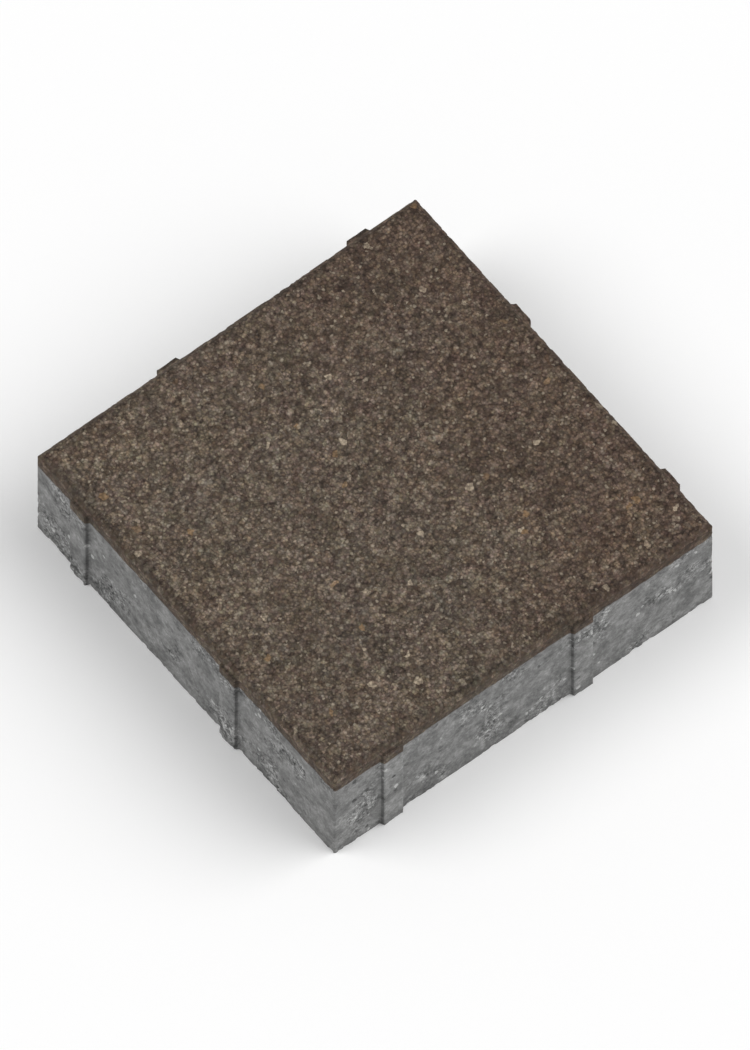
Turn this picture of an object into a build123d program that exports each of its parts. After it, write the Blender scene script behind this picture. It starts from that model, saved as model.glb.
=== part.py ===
from build123d import *
import os

# A square concrete paving block, pressed in one piece, with upright spacer nibs on its four sides.
# Lengths are in millimetres. The origin is the middle of the underside, +Z points up to the
# walking face, and the sides are parallel to X and Y.

# The block
block_side = 200.0           # from one plain side to the opposite one
block_height = 60.0          # from the underside to the walking face
corner_radius = 1.0          # of the four upright corners
bevel_width = 2.5            # of the bevel round the walking face, in plan
bevel_drop = 2.5             # of the same bevel, down the sides

# The spacer nibs
nib_depth = 2.0              # how far a nib stands out from its side
nib_width = 12.0             # across a nib's root
nib_flank = 1.0              # how far each flank leans in between root and tip
nib_top_drop = 0.5           # from the bevel's lower edge down to a nib's top
nib_corner_distance = 30.0   # from a side's first corner to the middle of its first nib
nib_spacing = 100.0          # from the middle of one nib to the middle of the next

side_count = 4
half_side = block_side / 2
shoulder_height = block_height - bevel_drop
nib_height = shoulder_height - nib_top_drop


def bevelled_block():
    """The block without nibs: an upright prism, cut at the top by four sloping planes."""
    prism = extrude(RectangleRounded(block_side, block_side, corner_radius), amount=block_height)
    shoulder = Rectangle(block_side, block_side)
    walking_face = Rectangle(block_side - 2 * bevel_width, block_side - 2 * bevel_width)
    below_bevel = extrude(shoulder, amount=shoulder_height)
    bevel = loft([Pos(0, 0, shoulder_height) * shoulder, Pos(0, 0, block_height) * walking_face])
    return prism & (below_bevel + bevel)


def nib_positions():
    """Places of the nibs along a side, from its middle: as many as the side has room for."""
    room = block_side - nib_corner_distance - nib_width / 2 - corner_radius
    count = 1 + int(room // nib_spacing)
    return [nib_corner_distance + index * nib_spacing - half_side for index in range(count)]


def spacer_nib():
    """One nib at the middle of the front side, rooted one nib depth inside the block."""
    root = nib_width / 2
    tip = root - nib_flank
    outline = Polyline(
        (-root, nib_depth - half_side),
        (-root, -half_side),
        (-tip, -half_side - nib_depth),
        (tip, -half_side - nib_depth),
        (root, -half_side),
        (root, nib_depth - half_side),
        close=True,
    )
    return extrude(make_face(outline), amount=nib_height)


def paving_block():
    """The whole casting. The nibs turn one way round the block, so neighbours' nibs never meet."""
    block = bevelled_block()
    nib = spacer_nib()
    for side in range(side_count):
        turn = Rot(0, 0, side * 360 / side_count)
        for position in nib_positions():
            block += turn * Pos(position, 0, 0) * nib
    return block


os.makedirs("parts", exist_ok=True)
export_step(paving_block(), "parts/paving_block.step")
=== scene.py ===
import math

import bpy
import numpy as np
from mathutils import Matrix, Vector


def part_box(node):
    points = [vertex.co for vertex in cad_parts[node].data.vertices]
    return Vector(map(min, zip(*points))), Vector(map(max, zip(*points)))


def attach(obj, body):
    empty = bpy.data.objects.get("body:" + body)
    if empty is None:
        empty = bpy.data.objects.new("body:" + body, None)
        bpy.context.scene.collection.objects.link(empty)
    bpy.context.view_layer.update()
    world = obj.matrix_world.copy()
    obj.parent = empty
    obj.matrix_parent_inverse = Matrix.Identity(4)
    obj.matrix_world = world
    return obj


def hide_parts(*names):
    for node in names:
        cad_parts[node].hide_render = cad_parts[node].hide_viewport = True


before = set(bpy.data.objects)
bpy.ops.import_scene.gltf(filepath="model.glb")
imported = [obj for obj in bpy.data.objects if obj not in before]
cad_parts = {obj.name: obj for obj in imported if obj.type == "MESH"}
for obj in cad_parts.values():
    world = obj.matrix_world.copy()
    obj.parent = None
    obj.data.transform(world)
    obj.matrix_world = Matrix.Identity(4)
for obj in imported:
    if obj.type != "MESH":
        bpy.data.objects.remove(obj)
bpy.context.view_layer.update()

mm = 0.001

# Sizes of the block, in metres: the overall box comes from the frame, the rest repeats the part's own sizes
node_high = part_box("paving_block")[1]
nib_depth = 2.0 * mm
half_side = node_high.x - nib_depth
block_height = node_high.z
corner_radius = 1.0 * mm
bevel_width = 2.5 * mm
bevel_drop = 2.5 * mm
shoulder_height = block_height - bevel_drop
nib_width = 12.0 * mm
nib_flank = 1.0 * mm
nib_top_drop = 0.5 * mm
nib_top = shoulder_height - nib_top_drop
nib_corner_distance = 30.0 * mm
nib_spacing = 100.0 * mm
first_nib = nib_corner_distance - half_side
nib_places = (first_nib, first_nib + nib_spacing)

# The brown face mix reaches this far down the sides and ends in an uneven line, and grey base mix follows
face_mix_depth = 9.0 * mm
mix_line = block_height - face_mix_depth
mix_line_wander = 3.6 * mm
mix_line_softness = 0.5 * mm

# Mesh spacing
plan_step = 0.95 * mm
upright_step = 1.5 * mm
foot_height = 1.8 * mm
foot_step = 0.6 * mm
crest_margin = 1.2 * mm
crest_step = 0.6 * mm
underside_stride = 3

# Sizes of grains and marks. A warp is the size of the noise that bends their outlines, and its reach
sand_size = 2.6 * mm
sand_warp = (2.2 * mm, 1.6 * mm)
fine_size = 1.15 * mm
fine_warp = (0.8 * mm, 0.7 * mm)
dust_size = 0.5 * mm
void_size = 1.9 * mm
pit_spacing = 6.5 * mm
pit_shift = (0.31, 0.17, 0.05)
paste_size = 2.4 * mm
drag_size = 3.4 * mm
drag_squash = (1, 1, 0.08)
swirl_size = 9.0 * mm
swell_size = 24.0 * mm
tint_size = 26.0 * mm
cloud_size = 70.0 * mm

# How far the marks of an edge reach from it
shoulder_reach = 1.8 * mm
foot_reach = 2.0 * mm
corner_reach = 2.2 * mm
crest_reach = 1.4 * mm
crest_line = 0.1 * mm
foot_shade_reach = 6.0 * mm
top_shade_reach = 8.0 * mm

# Heights between which the bevel passes into the walking face
top_start = shoulder_height + 0.8 * mm
top_full = block_height - 0.5 * mm

# A nib's sloping side, darkened with painted shade: where it comes in and goes out again, counted outwards
# from the side
flank_in = (0.15 * mm, 0.40 * mm)
flank_out = (1.60 * mm, 1.25 * mm)

# Depths of the relief. Pairs are for smooth and for rough places
pit_depth = 0.70 * mm
void_depth = 0.25 * mm
swell_depth = 0.25 * mm
swirl_depth = 0.30 * mm
drag_depth = 0.12 * mm
crest_depth = 0.26 * mm
crumb_depth = 0.85 * mm
chip_depth = 1.00 * mm
face_sand_depth = (0.08 * mm, 0.24 * mm)
base_sand_depth = (0.08 * mm, 0.34 * mm)
shoulder_wear = (0.25 * mm, 0.60 * mm)
corner_wear = (0.30 * mm, 0.75 * mm)

# Heights of the bump
sand_bump = 0.22 * mm
fine_bump = 0.18 * mm
dust_bump = 0.06 * mm
bump_strength = 0.8

# Colours as they show on screen, 0 to 255
brown_cool = (98.2, 87, 75.4)
brown_warm = (89.7, 76, 64.8)
ochre_grain = (142, 115, 83)
pale_speck = (152, 141, 123)
pale_grain = (176, 161, 140)
base_grey = (127, 127, 126)
base_speck = (205, 205, 203)

# Places along x between which the brown turns from cool to warm
warm_from = -20 * mm
warm_to = 100 * mm
concrete_gloss = 0.25
floor_white = 0.995

# Shares of the baked colour map: the walking face, and the gap between islands
map_face = 0.618
map_gap = 0.006

# Camera
view_azimuth = -38.16
view_elevation = 60.0
picture_height = 1050
block_width_in_picture = 678
camera_distance = 2.0

# Light: of each lamp its level on an upward face, tilt from overhead, azimuth and softness, in degrees
sky_level = 0.354
lamps = {
    "right": (0.386, 42.4, -42.1, 54.7),
    "left": (0.260, 41.3, 150.7, 35.1),
}
floor_half = 2.5


# Node helper, for shader and geometry trees alike

class Graph:
    """Adds nodes to a tree. Inputs are sockets to link or plain values to set."""

    # Numbers of the colour sockets on a mix node
    mix_share, mix_first, mix_second, mix_result = 0, 6, 7, 2

    def __init__(self, tree):
        self.tree = tree

    def add(self, kind, inputs=(), **settings):
        node = self.tree.nodes.new(kind)
        for name, value in settings.items():
            setattr(node, name, value)
        for key, value in dict(inputs).items():
            if isinstance(value, bpy.types.NodeSocket):
                self.tree.links.new(value, node.inputs[key])
            else:
                node.inputs[key].default_value = value
        return node

    def math(self, operation, *values):
        return self.add("ShaderNodeMath", dict(enumerate(values)), operation=operation).outputs[0]

    def vector(self, operation, first, second):
        key = "Scale" if operation == "SCALE" else 1
        return self.add("ShaderNodeVectorMath", {0: first, key: second}, operation=operation).outputs[0]

    def plus(self, *values):
        total = values[0]
        for value in values[1:]:
            total = self.math("ADD", total, value)
        return total

    def minus(self, first, second):
        return self.math("SUBTRACT", first, second)

    def times(self, *values):
        product = values[0]
        for value in values[1:]:
            product = self.math("MULTIPLY", product, value)
        return product

    def power(self, value, exponent):
        return self.math("POWER", value, exponent)

    def larger(self, first, second):
        return self.math("MAXIMUM", first, second)

    def ramp(self, value, low, high, to_low=0.0, to_high=1.0):
        """Maps low..high to to_low..to_high in a soft curve, and holds the ends."""
        inputs = {"Value": value, "From Min": low, "From Max": high, "To Min": to_low, "To Max": to_high}
        return self.add("ShaderNodeMapRange", inputs, interpolation_type="SMOOTHSTEP").outputs["Result"]

    def spread(self, random, to_low, to_high):
        """Maps a random number between 0 and 1 evenly to to_low..to_high."""
        inputs = {"Value": random, "To Min": to_low, "To Max": to_high}
        return self.add("ShaderNodeMapRange", inputs).outputs["Result"]

    def blend(self, share, first, second):
        """A number between first, at share 0, and second, at share 1."""
        return self.plus(first, self.times(share, self.minus(second, first)))

    def axes(self, vector):
        """The three numbers of a vector."""
        return self.add("ShaderNodeSeparateXYZ", {0: vector}).outputs[:3]

    def joined(self, x, y, z):
        """A vector of three numbers."""
        return self.add("ShaderNodeCombineXYZ", {0: x, 1: y, 2: z}).outputs[0]

    def length(self, first, second):
        """The long side of a right triangle with these two sides."""
        pair = self.joined(first, second, 0.0)
        return self.add("ShaderNodeVectorMath", {0: pair}, operation="LENGTH").outputs["Value"]

    def noise_node(self, position, size, detail, roughness=0.5, distortion=0.0):
        inputs = {"Vector": position, "Scale": 1 / size, "Detail": detail}
        inputs.update({"Roughness": roughness, "Distortion": distortion})
        return self.add("ShaderNodeTexNoise", inputs)

    def noise(self, position, size, detail, roughness, distortion=0.0):
        """A smooth random number between 0 and 1."""
        return self.noise_node(position, size, detail, roughness, distortion).outputs[0]

    def noises(self, position, size, detail, roughness):
        """Three noises that don't follow each other."""
        return self.axes(self.noise_node(position, size, detail, roughness).outputs[1])

    def warped(self, position, size, amount):
        """The position pushed about by noise, so that cells get uneven outlines."""
        swirl = self.noise_node(position, size, 1.0).outputs[1]
        push = self.vector("SCALE", self.vector("SUBTRACT", swirl, (0.5, 0.5, 0.5)), amount)
        return self.vector("ADD", position, push)

    def cells(self, position, size):
        """Voronoi cells: the distance to a cell's middle, in cell sizes, and three random numbers."""
        node = self.add("ShaderNodeTexVoronoi", {"Vector": position, "Scale": 1 / size})
        return node.outputs["Distance"], self.axes(node.outputs["Color"])

    def mix(self, share, first, second, kind="MIX"):
        """A colour between first and second, each a socket or three linear numbers."""
        inputs = {self.mix_share: share}
        for key, colour in ((self.mix_first, first), (self.mix_second, second)):
            inputs[key] = colour if isinstance(colour, bpy.types.NodeSocket) else (*colour, 1.0)
        node = self.add("ShaderNodeMix", inputs, data_type="RGBA", blend_type=kind)
        return node.outputs[self.mix_result]

    def tinted(self, colour, red, green, blue):
        """A colour whose red, green and blue are each made stronger or weaker by a number."""
        return self.mix(1.0, colour, self.joined(red, green, blue), "MULTIPLY")

    def shaded(self, colour, tone):
        """A colour made lighter or darker by a number."""
        return self.tinted(colour, tone, tone, tone)


def linear(colour):
    """A screen colour as the linear numbers that shaders take, by the sRGB curve."""
    shares = [value / 255 for value in colour]
    return tuple(s / 12.92 if s <= 0.04045 else ((s + 0.055) / 1.055) ** 2.4 for s in shares)


# Fields over the block, from a point's place: the relief and the colours are both made from them

class Fields:
    """Edges, grains, pits and patches of the concrete."""

    def __init__(self, graph, position):
        x, y, z = graph.axes(position)
        out_x = graph.math("ABSOLUTE", x)
        out_y = graph.math("ABSOLUTE", y)
        out = graph.larger(out_x, out_y)
        reach = graph.math("MINIMUM", out, half_side)
        inset = graph.minus(reach, half_side)
        self.x = x
        self.z = z
        self.reach = reach

        # Closeness to the edges, 1 on the edge itself
        shoulder = graph.length(inset, graph.minus(z, shoulder_height))
        corner = graph.length(graph.minus(out_x, half_side), graph.minus(out_y, half_side))
        crest = graph.math("ABSOLUTE", graph.minus(reach, half_side - bevel_width))
        self.shoulder = graph.ramp(shoulder, shoulder_reach, 0.0)
        self.foot = graph.ramp(graph.length(inset, z), foot_reach, 0.0)
        self.corner = graph.ramp(corner, corner_reach, 0.0)
        self.top = graph.ramp(z, top_start, top_full)
        self.crest = graph.times(graph.ramp(crest, crest_reach, crest_line), self.top)
        # Where a nib's sloping side stands out, which gets painted shade
        lower_flank = graph.ramp(out, half_side + flank_in[0], half_side + flank_in[1])
        upper_flank = graph.ramp(out, half_side + flank_out[0], half_side + flank_out[1])
        self.flank_shade = graph.times(lower_flank, upper_flank)

        # Sand grains with uneven outlines, three random numbers to each
        uneven = graph.warped(position, *sand_warp)
        self.sand_reach, self.sand = graph.cells(uneven, sand_size)

        # Small voids between the grains
        self.void = graph.ramp(graph.noise(uneven, void_size, 1.0, 0.5), 0.46, 0.32)

        # Pits of the face mix and pores of the base mix share their cells, and a third of the cells has one
        pit_reach, pit_random = graph.cells(graph.vector("ADD", uneven, pit_shift), pit_spacing)
        pit_size = graph.ramp(pit_random[0], 0.66, 1.0, 0.0, 0.26)
        self.pit = graph.ramp(graph.minus(pit_size, pit_reach), 0.0, 0.10)

        # Slow unevenness, swirls, patches where the base mix stayed open, and upright drag marks
        self.swell = graph.noise(position, swell_size, 3.0, 0.5)
        self.swirl = graph.noise(position, swirl_size, 4.0, 0.6, 0.3)
        self.open = graph.ramp(self.swell, 0.50, 0.62)
        self.drag = graph.noise(graph.vector("MULTIPLY", position, drag_squash), drag_size, 2.0, 0.5)

        # Share of face mix
        wander = graph.times(graph.minus(self.swirl, 0.5), mix_line_wander)
        above = graph.plus(graph.minus(z, mix_line), wander)
        self.face = graph.ramp(above, -mix_line_softness, mix_line_softness)

    def depth(self, graph):
        """How deep the relief goes below the plain block."""
        sand = graph.minus(1.0, self.sand[0])
        off_edge = graph.minus(1.0, graph.larger(self.foot, self.corner))
        pits = graph.times(self.pit, off_edge, pit_depth)
        voids = graph.times(self.void, void_depth)
        face_sand = graph.times(sand, graph.blend(self.top, *face_sand_depth))
        face_swell = graph.times(self.swell, swell_depth)
        face = graph.plus(face_sand, face_swell, graph.times(graph.plus(pits, voids), self.top))
        base_sand = graph.times(sand, graph.blend(self.open, *base_sand_depth))
        base_swirl = graph.times(self.swirl, swirl_depth)
        base_drag = graph.times(self.drag, drag_depth)
        base = graph.plus(base_sand, base_swirl, base_drag, pits, graph.times(voids, self.open))
        depth = graph.blend(self.face, base, face)

        # Crumbled edges: grains that broke away, and a few larger chips
        weak = graph.ramp(self.swell, 0.35, 0.6, 0.25, 1.0)
        broken = graph.times(graph.ramp(self.sand[1], 0.45, 0.9), weak)
        chip = graph.ramp(self.swirl, 0.58, 0.68)
        crumbs = graph.larger(graph.times(broken, crumb_depth), graph.times(chip, chip_depth))
        worn_edges = (
            (self.shoulder, graph.blend(broken, *shoulder_wear)),
            (self.corner, graph.blend(broken, *corner_wear)),
            (self.foot, crumbs),
        )
        for edge, wear in worn_edges:
            depth = graph.larger(depth, graph.times(edge, wear))
        return graph.plus(depth, graph.times(self.crest, crest_depth))


# The block's mesh

def ruled_lines(breaks, step):
    """Coordinates through all breaks, evenly spaced between two of them and no wider than step."""
    lines = [breaks[0]]
    for start, end in zip(breaks, breaks[1:]):
        count = max(1, math.ceil((end - start) / step - 1e-6))
        lines += [start + (end - start) * (index + 1) / count for index in range(count)]
    return lines


def plan_lines():
    """Grid lines across the block, through every bevel line and nib edge of opposite sides."""
    crest = half_side - bevel_width
    edges = ruled_lines([crest - crest_margin, crest], crest_step)
    edges += [half_side - corner_radius, half_side]
    for place in nib_places:
        for share in (nib_width / 2, nib_width / 2 - nib_flank):
            edges += [abs(place) - share, abs(place) + share]
    return np.array(ruled_lines(sorted(edges + [-edge for edge in edges]), plan_step))


def ring_heights():
    """Heights of the rings down the sides, from the underside to the bevel's lower edge."""
    foot = ruled_lines([0.0, foot_height], foot_step)
    return foot + ruled_lines([foot_height, nib_top], upright_step)[1:] + [shoulder_height]


def nib_profile(along):
    """How far a nib stands out at each place along a side, from 0 to 1."""
    stands = np.zeros_like(along)
    for place in nib_places:
        from_flank = (nib_width / 2 - np.abs(along - place)) / nib_flank
        stands = np.maximum(stands, np.clip(from_flank, 0, 1))
    return stands


def side_ring(along, height):
    """The block's outline at one height, as points that go once round it from the front left corner."""
    stands = nib_profile(along) * np.clip((shoulder_height - height) / nib_top_drop, 0, 1)
    bend = np.clip((np.abs(along) - half_side + corner_radius) / corner_radius, 0, 1) * math.pi / 4
    flat = np.clip(along, corner_radius - half_side, half_side - corner_radius)
    across = flat + np.sign(along) * corner_radius * np.sin(bend)
    depth = half_side + nib_depth * stands - corner_radius * (1 - np.cos(bend))
    ring = []
    for side in range(4):
        cosine, sine = math.cos(side * math.pi / 2), math.sin(side * math.pi / 2)
        x = across[:-1] * cosine + depth[:-1] * sine
        y = across[:-1] * sine - depth[:-1] * cosine
        ring.append(np.stack([x, y, np.full_like(x, height)], axis=1))
    return np.concatenate(ring)


def border_places(count):
    """Grid places (column, row) of the border of a square grid, in the order of side_ring."""
    last = count - 1
    steps = range(last)
    front = [(step, 0) for step in steps]
    right = [(last, step) for step in steps]
    back = [(last - step, last) for step in steps]
    left = [(0, last - step) for step in steps]
    return front + right + back + left


def top_points(along, border, rim):
    """Grid points of the walking face and the bevel, whose border is the highest ring."""
    grid_x, grid_y = np.meshgrid(along, along, indexing="ij")
    outward = np.maximum(np.abs(grid_x), np.abs(grid_y)) - (half_side - bevel_width)
    fall = np.clip(outward / bevel_width, 0, 1) * bevel_drop
    points = np.stack([grid_x, grid_y, block_height - fall], axis=-1)
    points[border] = rim
    return points


def under_outlines(picks, last):
    """Outlines of the underside's faces, which take in every point of the lowest ring."""
    faces = []
    for left, right in zip(picks, picks[1:]):
        for near, far in zip(picks, picks[1:]):
            left_rows = range(near, far) if left == 0 else [near]
            far_columns = range(left, right) if far == last else [left]
            right_rows = range(far, near, -1) if right == last else [far]
            near_columns = range(right, left, -1) if near == 0 else [right]
            outline = [(left, row) for row in left_rows]
            outline += [(column, far) for column in far_columns]
            outline += [(right, row) for row in right_rows]
            outline += [(column, near) for column in near_columns]
            faces.append(outline)
    return faces


def colour_map(along, heights, outlines):
    """Flat map places of all face corners: top, four sides and underside, in the order of the faces."""
    share = (along + half_side) / (2 * half_side)
    rise = heights / heights[-1]
    strip = map_face * shoulder_height / (2 * half_side)
    past = map_face + 2 * map_gap
    next_strip = past + strip + map_gap
    ahead, up = np.array([0, 1, 1, 0]), np.array([0, 0, 1, 1])
    column, row = np.indices((len(along) - 1, len(along) - 1))
    top = np.stack([share[column[..., None] + ahead], share[row[..., None] + up]], axis=-1)
    level, place = np.indices((len(heights) - 1, len(along) - 1))
    side_along = share[place[..., None] + ahead] * map_face
    side_up = rise[level[..., None] + up] * strip
    lying = np.stack([side_along, side_up], axis=-1)
    standing = lying[..., ::-1]
    sides = [lying + (map_gap, past), lying + (map_gap, next_strip)]
    sides += [standing + (past, map_gap), standing + (next_strip, map_gap)]
    under = np.array([(share[column], share[row]) for outline in outlines for column, row in outline])
    under = under * (1 - past - map_gap) + past
    islands = [top * map_face + map_gap, np.concatenate(sides, axis=1), under]
    return np.concatenate([island.reshape(-1, 2) for island in islands])


def four_sided(*corners):
    """Faces from four arrays of point numbers, one for each corner."""
    return np.stack([numbers.ravel() for numbers in corners], axis=1).tolist()


def block_mesh():
    """The block as one closed mesh: a fine grid on top, rings down the sides, a wider grid below."""
    along = plan_lines()
    count = len(along)
    heights = ring_heights()
    rings = np.stack([side_ring(along, height) for height in heights])
    around = rings.shape[1]
    places = border_places(count)
    border = tuple(np.array(places).T)
    top = top_points(along, border, rings[-1])
    top_index = np.arange(count * count).reshape(count, count)
    ring_index = count * count + np.arange((len(heights) - 1) * around).reshape(-1, around)
    ring_index = np.concatenate([ring_index, top_index[border][None]])

    # Underside grid on fewer lines, whose border is the lowest ring
    picks = list(range(0, count - 1, underside_stride)) + [count - 1]
    inner = [(column, row) for column in picks[1:-1] for row in picks[1:-1]]
    under_index = dict(zip(places, ring_index[0].tolist()))
    under_index.update({place: number for number, place in enumerate(inner, ring_index[-2, -1] + 1)})
    under = np.array([(along[column], along[row], 0.0) for column, row in inner])

    faces = four_sided(top_index[:-1, :-1], top_index[1:, :-1], top_index[1:, 1:], top_index[:-1, 1:])
    next_index = np.roll(ring_index, -1, axis=1)
    faces += four_sided(ring_index[:-1], next_index[:-1], next_index[1:], ring_index[1:])
    outlines = under_outlines(picks, count - 1)
    faces += [[under_index[place] for place in outline] for outline in outlines]
    points = np.concatenate([top.reshape(-1, 3), rings[:-1].reshape(-1, 3), under])
    mesh = bpy.data.meshes.new("concrete_block")
    mesh.from_pydata(points.tolist(), [], faces)
    mesh.polygons.foreach_set("use_smooth", np.ones(len(mesh.polygons), bool))
    layer = mesh.uv_layers.new(name="OFBake")
    layer.uv.foreach_set("vector", colour_map(along, np.array(heights), outlines).ravel())
    return mesh


def carve(block):
    """Cuts the relief into the block's mesh, inwards only."""
    tree = bpy.data.node_groups.new("concrete_relief", "GeometryNodeTree")
    tree.interface.new_socket("Geometry", in_out="INPUT", socket_type="NodeSocketGeometry")
    tree.interface.new_socket("Geometry", in_out="OUTPUT", socket_type="NodeSocketGeometry")
    graph = Graph(tree)
    position = graph.add("GeometryNodeInputPosition").outputs[0]
    normal = graph.add("GeometryNodeInputNormal").outputs[0]
    fields = Fields(graph, position)

    # The lowest ring goes in nearly level, so that no crumb folds over the ring above
    upright = graph.ramp(fields.foot, 0.85, 1.0, 1.0, 0.1)
    levelled = graph.vector("MULTIPLY", normal, graph.joined(1.0, 1.0, upright))
    outward = graph.add("ShaderNodeVectorMath", {0: levelled}, operation="NORMALIZE").outputs[0]
    offset = graph.vector("SCALE", outward, graph.times(fields.depth(graph), -1.0))
    source = graph.add("NodeGroupInput").outputs[0]
    moved = graph.add("GeometryNodeSetPosition", {"Geometry": source, "Offset": offset})
    graph.add("NodeGroupOutput", {0: moved.outputs[0]})
    block.modifiers.new("relief", "NODES").node_group = tree
    depsgraph = bpy.context.evaluated_depsgraph_get()
    mesh = bpy.data.meshes.new_from_object(block.evaluated_get(depsgraph), depsgraph=depsgraph)
    block.modifiers.clear()
    block.data = mesh


# The concrete: tones multiply a colour, so that 1 leaves it as it is

def face_colour(graph, fields, position, fine):
    """The brown face mix: gritty on top, smoother and darker on the bevel and the sides."""
    cloud = graph.noise(position, cloud_size, 3.0, 0.55)
    warmth = graph.plus(graph.ramp(fields.x, warm_from, warm_to), graph.times(cloud, 1.6))
    colour = graph.mix(graph.ramp(warmth, 0.7, 1.7), linear(brown_cool), linear(brown_warm))

    # Grains and slow unevenness in tone, with painted shade between the grains, in the voids among them and
    # in the pits
    sand = graph.spread(graph.power(fields.sand[0], 1.7), 0.68, 1.48)
    painted_grain_shade = graph.ramp(fields.sand_reach, 0.45, 0.8, 1.0, 0.75)
    voids = graph.spread(fields.void, 1.0, 0.55)
    grain = graph.spread(graph.power(fine[0], 1.5), 0.60, 1.57)
    pits = graph.ramp(fields.pit, 0.0, 1.0, 1.0, 0.55)
    swell = graph.spread(fields.swell, 0.76, 1.24)
    grit = graph.times(sand, painted_grain_shade, voids, grain, pits, swell)
    patches = graph.ramp(fields.swirl, 0.3, 0.7, 0.72, 1.28)
    smooth = graph.plus(0.31, graph.times(grit, 0.62))
    smooth = graph.times(smooth, graph.spread(fine[2], 0.84, 1.12), patches)
    colour = graph.shaded(colour, graph.blend(fields.top, smooth, grit))

    # Grains and patches differ in hue, and dark ones are redder
    rust, straw, _ = graph.noises(position, tint_size, 3.0, 0.9)
    red = graph.times(graph.spread(fine[2], 0.95, 1.05), graph.spread(fields.sand[2], 0.96, 1.04))
    red = graph.times(red, graph.spread(rust, 0.88, 1.12), graph.power(grit, -0.08))
    blue = graph.times(graph.spread(fine[1], 0.91, 1.09), graph.spread(straw, 0.87, 1.13))
    colour = graph.tinted(colour, red, 1.0, blue)

    # A few ochre and pale grains, those with the highest random numbers
    ochre = graph.times(graph.ramp(fields.sand[2], 0.996, 0.998), fields.top)
    specks = graph.times(graph.ramp(fine[1], 0.972, 0.980), fields.top)
    pale = graph.times(graph.ramp(fields.sand[1], 0.995, 0.997), graph.spread(fine[0], 0.3, 0.75))
    colour = graph.mix(graph.times(ochre, 0.5), colour, linear(ochre_grain))
    colour = graph.mix(graph.times(specks, 0.5), colour, linear(pale_speck))
    colour = graph.mix(pale, colour, linear(pale_grain))

    # The top darkens towards the bevel in painted shade, a dark line of painted shade runs along the crest,
    # and a light line along the shoulder is partly wear and partly painted highlight
    edge_shade = graph.ramp(fields.reach, half_side - top_shade_reach, half_side - bevel_width, 1.0, 0.84)
    # Painted shade: the dark line in the groove along the crest
    crest = graph.ramp(fields.crest, 0.0, 1.0, 1.0, 0.77)
    # A light line along the shoulder: partly wear, partly painted highlight where the edge catches light
    rubbed_highlight = graph.times(fields.shoulder, graph.spread(fine[1], 0.5, 1.0))
    worn_highlight = graph.ramp(rubbed_highlight, 0.45, 0.9, 1.0, 1.75)
    return graph.shaded(colour, graph.times(edge_shade, crest, worn_highlight))


def base_colour(graph, fields, position, fine):
    """The grey base mix: clouded, speckled where it stayed open, with dark and pale grains, and painted
    shade in its pores and voids and towards the underside.
    """
    cloud = graph.ramp(fields.swirl, 0.3, 0.7, 0.70, 1.30)
    paste = graph.spread(graph.noise(position, paste_size, 4.0, 0.7), 0.55, 1.45)
    speckle = graph.blend(fields.open, 0.32, 1.2)
    sand = graph.plus(1.0, graph.times(speckle, graph.spread(fields.sand[0], -0.30, 0.30)))
    grain = graph.plus(1.0, graph.times(speckle, graph.spread(fine[0], -0.40, 0.40)))
    drag = graph.spread(fields.drag, 0.93, 1.07)
    # Painted shade in the pores and in the voids between grains
    pores = graph.ramp(fields.pit, 0.0, 1.0, 1.0, 0.5)
    voids = graph.minus(1.0, graph.times(fields.void, graph.blend(fields.open, 0.15, 0.5)))
    core = graph.ramp(fields.sand_reach, 0.6, 0.4)
    dark = graph.minus(1.0, graph.times(graph.ramp(fields.sand[2], 0.97, 0.975), core, 0.35))
    # The grey darkens towards the underside: painted shade near the floor
    foot = graph.ramp(fields.z, 0.0, foot_shade_reach, 0.9, 1.0)
    tone = graph.times(cloud, paste, sand, grain, drag, pores, voids, dark, foot)
    colour = graph.shaded(linear(base_grey), tone)
    pale = graph.times(graph.ramp(fields.sand[1], 0.988, 0.991), core)
    return graph.mix(graph.times(pale, 0.65), colour, linear(base_speck))


def concrete_material():
    """Both mixes as one material: their colours by height, a dull surface, and bump."""
    material = bpy.data.materials.new("pressed_concrete")
    material.use_nodes = True
    graph = Graph(material.node_tree)
    shader = material.node_tree.nodes["Principled BSDF"]
    position = graph.add("ShaderNodeTexCoord").outputs["Object"]
    fields = Fields(graph, position)
    fine_reach, fine = graph.cells(graph.warped(position, *fine_warp), fine_size)
    dust = graph.noise(position, dust_size, 2.0, 0.6)

    # How rough each place is: the painted shade and highlight of the fine grains, darker between them and
    # lighter on their middles, and the bump both follow it
    face_rough = graph.blend(fields.top, 0.3, graph.ramp(fields.swirl, 0.35, 0.65, 0.6, 1.1))
    base_rough = graph.blend(fields.open, 0.15, 0.7)
    rough = graph.blend(fields.face, base_rough, face_rough)
    # Painted shade between the fine grains and painted highlight on their middles
    painted_grain_shade = graph.blend(rough, 1.0, graph.ramp(fine_reach, 0.25, 0.8, 1.35, 0.70))
    # Painted shade: a dark line along each nib's sloping side
    flank_shade = graph.ramp(fields.flank_shade, 0.0, 1.0, 1.0, 0.6)
    tone = graph.times(flank_shade, painted_grain_shade, graph.spread(dust, 0.75, 1.25))
    face = face_colour(graph, fields, position, fine)
    base = base_colour(graph, fields, position, fine)
    colour = graph.shaded(graph.mix(fields.face, base, face), tone)
    graph.tree.links.new(colour, shader.inputs["Base Color"])
    graph.tree.links.new(graph.ramp(dust, 0.25, 0.75, 0.8, 0.98), shader.inputs["Roughness"])
    shader.inputs["Specular IOR Level"].default_value = concrete_gloss

    # Grain too fine for the mesh
    sand = graph.times(graph.ramp(fields.sand_reach, 0.75, 0.1), sand_bump)
    grains = graph.times(graph.ramp(fine_reach, 0.8, 0.1), fine_bump)
    height = graph.times(graph.plus(sand, grains, graph.times(dust, dust_bump)), rough)
    bump = graph.add("ShaderNodeBump", {"Height": height, "Distance": 1.0, "Strength": bump_strength})
    graph.tree.links.new(bump.outputs[0], shader.inputs["Normal"])
    return material


# Floor, light and camera

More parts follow.
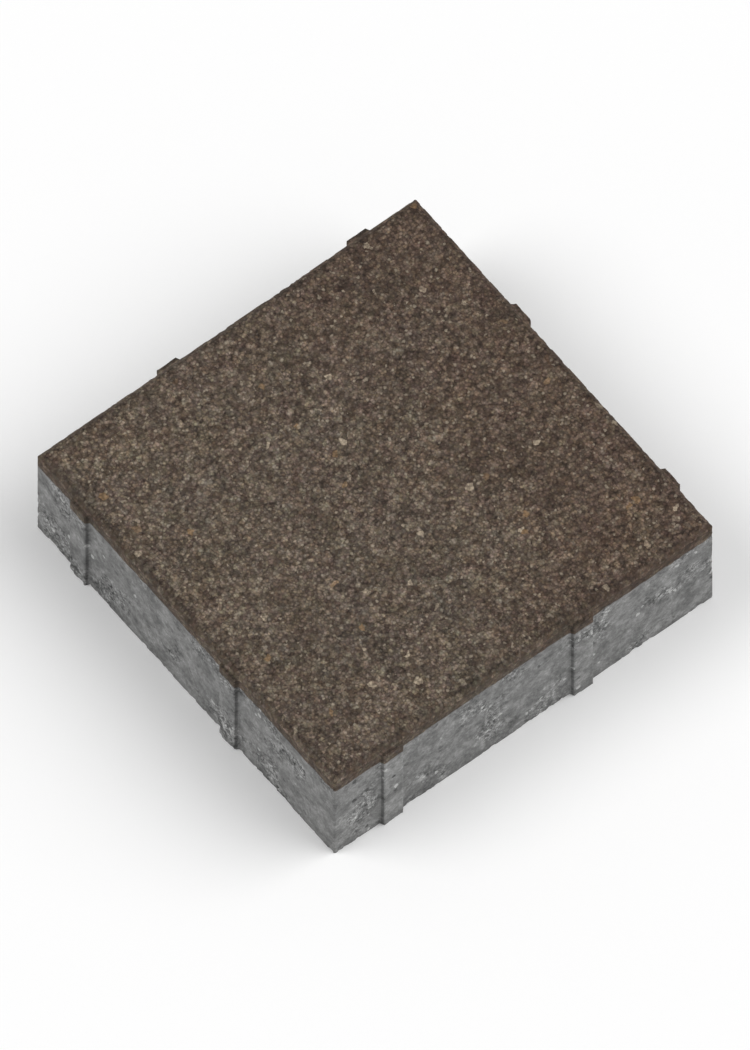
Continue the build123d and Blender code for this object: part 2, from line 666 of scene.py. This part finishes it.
def add_floor():
    """A plain white floor under the block, wide enough to fill the picture."""
    corners = [(-floor_half, -floor_half, 0), (floor_half, -floor_half, 0)]
    corners += [(floor_half, floor_half, 0), (-floor_half, floor_half, 0)]
    mesh = bpy.data.meshes.new("floor")
    mesh.from_pydata(corners, [], [(0, 1, 2, 3)])
    floor = bpy.data.objects.new("floor", mesh)
    bpy.context.scene.collection.objects.link(floor)
    material = bpy.data.materials.new("floor_white")
    material.use_nodes = True
    shader = material.node_tree.nodes["Principled BSDF"]
    shader.inputs["Base Color"].default_value = (floor_white, floor_white, floor_white, 1.0)
    shader.inputs["Roughness"].default_value = 1.0
    shader.inputs["Specular IOR Level"].default_value = 0.0
    mesh.materials.append(material)


def add_light():
    """A white room and two wide soft lamps, which together light an upward face at level 1."""
    world = bpy.data.worlds.new("studio")
    world.use_nodes = True
    bpy.context.scene.world = world
    graph = Graph(world.node_tree)
    path = graph.add("ShaderNodeLightPath").outputs
    seen = graph.larger(path["Is Camera Ray"], path["Is Glossy Ray"])
    seen = graph.larger(seen, path["Is Transmission Ray"])
    background = world.node_tree.nodes["Background"]
    background.inputs["Color"].default_value = (1.0, 1.0, 1.0, 1.0)
    graph.tree.links.new(graph.blend(seen, sky_level, 1.0), background.inputs["Strength"])
    for name, (level, tilt, azimuth, softness) in lamps.items():
        data = bpy.data.lights.new(name, "SUN")
        data.angle = math.radians(softness)
        data.energy = level * math.pi / math.cos(math.radians(tilt))
        lamp = bpy.data.objects.new(name, data)
        lamp.rotation_euler = (0.0, math.radians(tilt), math.radians(azimuth))
        bpy.context.scene.collection.objects.link(lamp)


def add_camera():
    """A parallel view at the photo's angle, with the block across most of the picture's width."""
    azimuth = math.radians(view_azimuth)
    elevation = math.radians(view_elevation)
    flat = math.cos(elevation)
    back = Vector((math.sin(azimuth) * flat, -math.cos(azimuth) * flat, math.sin(elevation)))
    data = bpy.data.cameras.new("camera")
    data.type = "ORTHO"
    width_in_view = 2 * half_side * (math.cos(azimuth) + abs(math.sin(azimuth)))
    data.ortho_scale = width_in_view * picture_height / block_width_in_picture
    camera = bpy.data.objects.new("camera", data)
    camera.location = Vector((0, 0, block_height / 2)) + back * camera_distance
    camera.rotation_mode = "QUATERNION"
    camera.rotation_quaternion = (-back).to_track_quat("-Z", "Y")
    bpy.context.scene.collection.objects.link(camera)
    bpy.context.scene.camera = camera


bpy.context.scene.view_settings.view_transform = "Standard"
block = bpy.data.objects.new("concrete_block", block_mesh())
bpy.context.scene.collection.objects.link(block)
carve(block)
block.data.materials.append(concrete_material())
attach(block, "root")
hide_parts("paving_block")
add_floor()
add_light()
add_camera()
